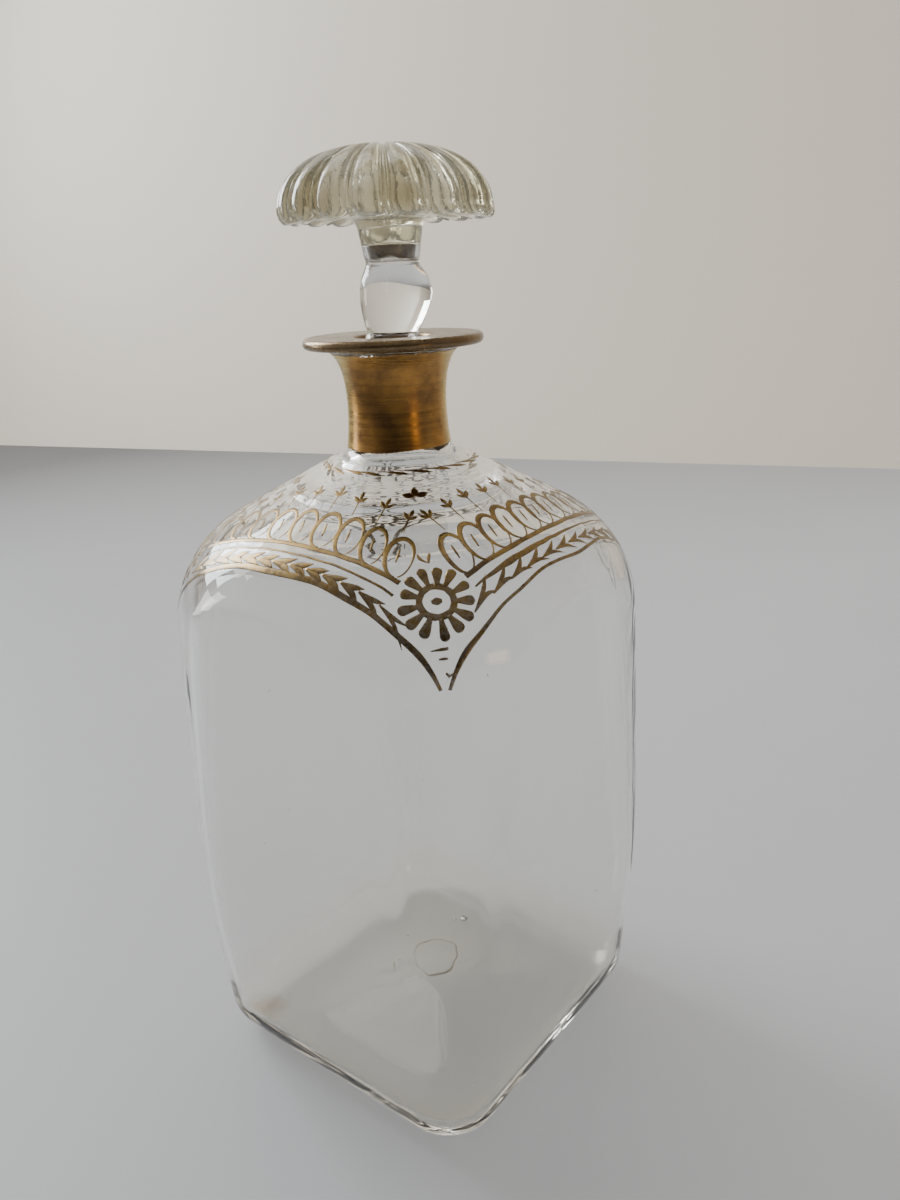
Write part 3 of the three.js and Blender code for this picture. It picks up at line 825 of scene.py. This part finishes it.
def knop_rings():
    """The ground shank, the knop, and the cup at its top that holds the cement."""
    top, foot = BORE_TOP - 0.3, BORE_FOOT - 0.3
    shank = [(2.0, SHANK_END), (foot - 1.2, SHANK_END), (foot - 0.35, SHANK_END + 0.25)]
    shank += [(foot + (top - foot) * t, SHANK_END + 1.1 + (LIP_TOP - 4.4 - SHANK_END) * t)
              for t in np.linspace(0, 1, 12)]
    knop = spline([shank[-1], (top - 0.5, LIP_TOP - 2.0), (5.3, LIP_TOP - 0.6), (4.85, LIP_TOP + 0.6),
                   (5.4, LIP_TOP + 1.9), (6.2, LIP_TOP + 4.3), (KNOP - 0.05, KNOP_HEIGHT),
                   (6.15, KNOP_HEIGHT + 2.6), (5.35, KNOP_HEIGHT + 4.2), (4.8, RING_LOW + 0.05),
                   (5.1, RING_LOW + 1.6), (5.36, CUP_RIM)], 90)
    cup = [(5.3, CUP_RIM + 0.04), (4.75, CUP_RIM + 0.04), (4.7, CUP_RIM - 0.1), (4.35, CUP_FLOOR + 0.4),
           (4.0, CUP_FLOOR), (2.0, CUP_FLOOR - 0.1)]
    return turned_rings([*shank, *knop[1:], *cup], STOPPER_STATIONS, 0.05)


place("glass_knop", [(knop_rings(), (0, 0, SHANK_END), lean(CUP_FLOOR) + (0, 0, CUP_FLOOR - 0.1))],
      KNOP_GLASS, "stopper", "knop_glass", "stopper_knop")


def cement_rings():
    """The cement fills the cup, with an uneven foot."""
    profile = [(3.2, 0.0), (3.9, 0.02), (4.2, 0.12), (4.35, 0.4), (4.52, 0.75), (4.62, 0.94),
               (4.5, 0.97), (3.0, 0.97)]
    levels = [(r, CUP_FLOOR + 0.1 + (CUP_RIM - CUP_FLOOR) * t) for r, t in profile]
    rings = turned_rings(levels, STOPPER_STATIONS)
    angle = np.arange(STOPPER_STATIONS) / STOPPER_STATIONS * 2 * np.pi
    for ring, (r, t) in zip(rings, profile):
        ring[:, 2] += (1 - t) * (0.45 + 0.35 * np.sin(2 * angle + 0.9) + 0.2 * np.sin(7 * angle))
    return rings


cement_centre = lean(CUP_RIM)
place("cement_ring", [(cement_rings(), (*cement_centre[:2], CUP_FLOOR + 0.5),
                       (*cement_centre[:2], CUP_RIM + 0.1))],
      CEMENT, "stopper", "cement", "stopper_ring")


def flute(angle):
    """The finial's section: broad, nearly flat lobes and, between them, a narrow raised rib with a
    groove on each side. 0 at the bottom of a groove, 1 at the middle of a lobe."""
    turn = ((angle - FLUTE_TURN) / (2 * np.pi) * FLUTES + 0.5) % 1 - 0.5
    off = np.abs(turn)
    rib = 0.8 * np.clip(1 - (off / 0.085) ** 2, 0, 1)
    lobe = 0.25 + 0.75 * np.clip(1 - ((0.5 - off) / 0.40) ** 2.6, 0, 1)
    rise = np.clip((off - 0.09) / 0.028, 0, 1)
    rise = rise * rise * (3 - 2 * rise)
    return rib + lobe * rise


def finial_rings():
    """The fluted mushroom on its short stem; the lobes hang as tongues from its rim."""
    base = RING_TOP - 0.07
    under = spline([(5.37, base), (5.5, base + 0.9), (5.72, base + 2.0), (5.95, FINIAL_RIM - 1.9),
                    (6.6, FINIAL_RIM - 0.8), (9.5, FINIAL_RIM - 0.2), (14.0, FINIAL_RIM - 0.5),
                    (17.0, FINIAL_RIM - 1.1), (FINIAL - 0.8, FINIAL_RIM - 1.25),
                    (FINIAL - 0.1, FINIAL_RIM - 0.4)], 56)
    profile = [(r, z, np.clip((r - 8) / 8, 0, 1)) for r, z in under]
    for turn in np.linspace(0, math.pi / 2, 60)[1:-1]:
        r = FINIAL * math.cos(turn) ** 0.86
        z = FINIAL_RIM + (FINIAL_TOP - FINIAL_RIM) * math.sin(turn) ** 0.84
        profile.append((r, z, min(r / 3.0, 1)))
    stations = FLUTES * 32
    angle = np.arange(stations) / stations * 2 * np.pi
    deep = 1 - flute(angle)
    hand = 1 + 0.12 * np.sin(5 * angle) + 0.1 * np.sin(7 * angle + 2)
    hang = 1 + 0.3 * np.sin(4 * angle + 1) + 0.3 * np.sin(11 * angle)
    rings = []
    for r, z, share in profile:
        out = r - 1.2 * share * deep * hand * (0.35 + 0.65 * r / FINIAL)
        above = np.clip((z - FINIAL_RIM) / 6, 0, 1)
        dimple = 0.5 * math.exp(-(r / 2.6) ** 2) * (z > FINIAL_RIM)
        tongue = 1.0 * deep * share * hang * (1 - np.clip((z - FINIAL_RIM + 1.3) / 2.6, 0, 1))
        shift = lean(z)
        rings.append(np.column_stack([out * np.cos(angle) + shift[0], out * np.sin(angle) + shift[1],
                                      z - 0.65 * deep * share * above * hand - dimple + tongue]))
    return rings


place("glass_finial", [(finial_rings(), lean(RING_TOP) + (0, 0, RING_TOP - 0.07), (0, 0, FINIAL_TOP - 0.5))],
      FINIAL_GLASS, "stopper", "finial_glass", "stopper_finial")


# ---- Camera ----

def photo_camera():
    """A phone held close, looking down at the corner between the -X and -Y sides."""
    turn, distance, height = math.radians(49.07), 182.54 * MM, 161.76 * MM
    yaw, pitch, roll = math.radians(2.62), math.radians(19.33), math.radians(-2.51)
    ahead = Vector((math.sin(yaw) * math.cos(pitch), math.cos(yaw) * math.cos(pitch), -math.sin(pitch)))
    level = Vector((math.cos(yaw), -math.sin(yaw), 0))
    above = level.cross(ahead)
    right = level * math.cos(roll) + above * math.sin(roll)
    up = above * math.cos(roll) - level * math.sin(roll)
    axes = Matrix((right, up, -ahead)).transposed().to_4x4()
    data = bpy.data.cameras.new("camera")
    data.sensor_width = 36.0
    data.lens = 28.7
    data.clip_start = 0.01
    camera = bpy.data.objects.new("camera", data)
    round_object = Matrix.Rotation(-turn, 4, "Z")
    camera.matrix_world = round_object @ Matrix.Translation((0, -distance, height)) @ axes
    bpy.context.scene.collection.objects.link(camera)
    bpy.context.scene.camera = camera


photo_camera()


# ---- Stage and light ----

VIEW_TURN = math.radians(-49.07)  # from a frame that faces the camera to the object's own
WALL_TURN = math.radians(-23.0)  # the wall stands askew behind the bottle
WALL_BACK = 0.68
WALL_TOP = 2.0
FLOOR_DROP = -0.00005


def sheet(name, corners, turn, mat):
    mesh = bpy.data.meshes.new(name)
    mesh.from_pydata(corners, [], [(0, 1, 2, 3)])
    mesh.materials.append(mat)
    obj = bpy.data.objects.new(name, mesh)
    back = Matrix.Translation((0, WALL_BACK, 0)) @ Matrix.Rotation(turn, 4, "Z")
    obj.matrix_world = Matrix.Rotation(VIEW_TURN, 4, "Z") @ back
    bpy.context.scene.collection.objects.link(obj)


# The floor's pool fades out towards the camera: painted shade that darkens the floor on the near side of the
# bottle.
FLOOR_WITH_PAINTED_SHADE = painted("floor_with_painted_shade", (0.355, 0.36, 0.375), (0.335, 0.34, 0.355), 4.0, 0.55,
                      (0.255, 0.26, 0.266), ((0.6, -0.45, 0), 0.3, 1.0))
WALL_PAINT = painted("wall_paint", (0.78, 0.73, 0.655), (0.76, 0.71, 0.635), 2.0, 0.8,
                     (0.28, 0.235, 0.178))
near_left, near_right = (-3, -3, FLOOR_DROP), (3, -3, FLOOR_DROP)
far_left, far_right = (-3, 0, FLOOR_DROP), (3, 0, FLOOR_DROP)
sheet("floor", [near_left, near_right, far_right, far_left], WALL_TURN, FLOOR_WITH_PAINTED_SHADE)
sheet("wall", [far_left, far_right, (3, 0, WALL_TOP), (-3, 0, WALL_TOP)], WALL_TURN, WALL_PAINT)


def lamp(name, azimuth, elevation, distance, size, power, colour, aim=(0, 0, 0.11)):
    """An area lamp at a distance from aim, and facing it; azimuth is anticlockwise from +X."""
    data = bpy.data.lights.new(name, "AREA")
    data.shape = "RECTANGLE"
    data.size, data.size_y = size
    data.energy = power
    data.color = colour
    a, e = math.radians(azimuth), math.radians(elevation)
    way = Vector((math.cos(a) * math.cos(e), math.sin(a) * math.cos(e), math.sin(e)))
    obj = bpy.data.objects.new(name, data)
    obj.location = Vector(aim) + way * distance
    obj.rotation_euler = (-way).to_track_quat("-Z", "Y").to_euler()
    bpy.context.scene.collection.objects.link(obj)


lamp("window", 88, 24, 0.9, (0.36, 0.4), 6.5, (0.90, 0.96, 1.0))
lamp("sky", 60, 58, 1.2, (1.0, 1.0), 5.5, (0.97, 0.98, 1.0))
lamp("wall_wash", 128, 50, 0.55, (0.5, 0.5), 3.5, (1.0, 0.97, 0.93), (0.2, 0.75, 0.45))
lamp("tall_window", 108, 3, 1.0, (0.22, 0.3), 1.0, (1.0, 0.98, 0.9))
lamp("room_lamp", 259, -2, 0.75, (0.13, 0.13), 0.13, (1.0, 0.62, 0.25))


def room_light():
    """A soft room: bright behind the bottle and dim towards the camera."""
    world = bpy.data.worlds.new("room")
    world.use_nodes = True
    nodes = Nodes(world.node_tree)
    way = nodes.add("ShaderNodeTexCoord").outputs["Generated"]
    front = (math.cos(math.radians(221)), math.sin(math.radians(221)), 0.0)
    facing = nodes.add("ShaderNodeVectorMath", {0: way, 1: front}, operation="DOT_PRODUCT").outputs["Value"]
    height = nodes.add("ShaderNodeSeparateXYZ", {"Vector": way}).outputs["Z"]
    colour = nodes.mix(nodes.ramp(facing, -0.4, 0.5), (0.85, 0.84, 0.83), (0.34, 0.32, 0.30))
    colour = nodes.mix(nodes.ramp(facing, 0.5, 0.85), colour, (0.10, 0.09, 0.078))
    colour = nodes.mix(nodes.ramp(height, 0.35, 0.85), colour, (0.36, 0.34, 0.32))
    shade = nodes.add("ShaderNodeBackground", {"Color": colour, "Strength": 1.0})
    out = nodes.add("ShaderNodeOutputWorld")
    nodes.tree.links.new(shade.outputs[0], out.inputs["Surface"])
    bpy.context.scene.world = world


room_light()


def light_paths():
    """Enough bounces for light to find its way along the glass walls."""
    paths = bpy.context.scene.cycles
    paths.max_bounces = 28
    paths.glossy_bounces = 24
    paths.transmission_bounces = 24


light_paths()
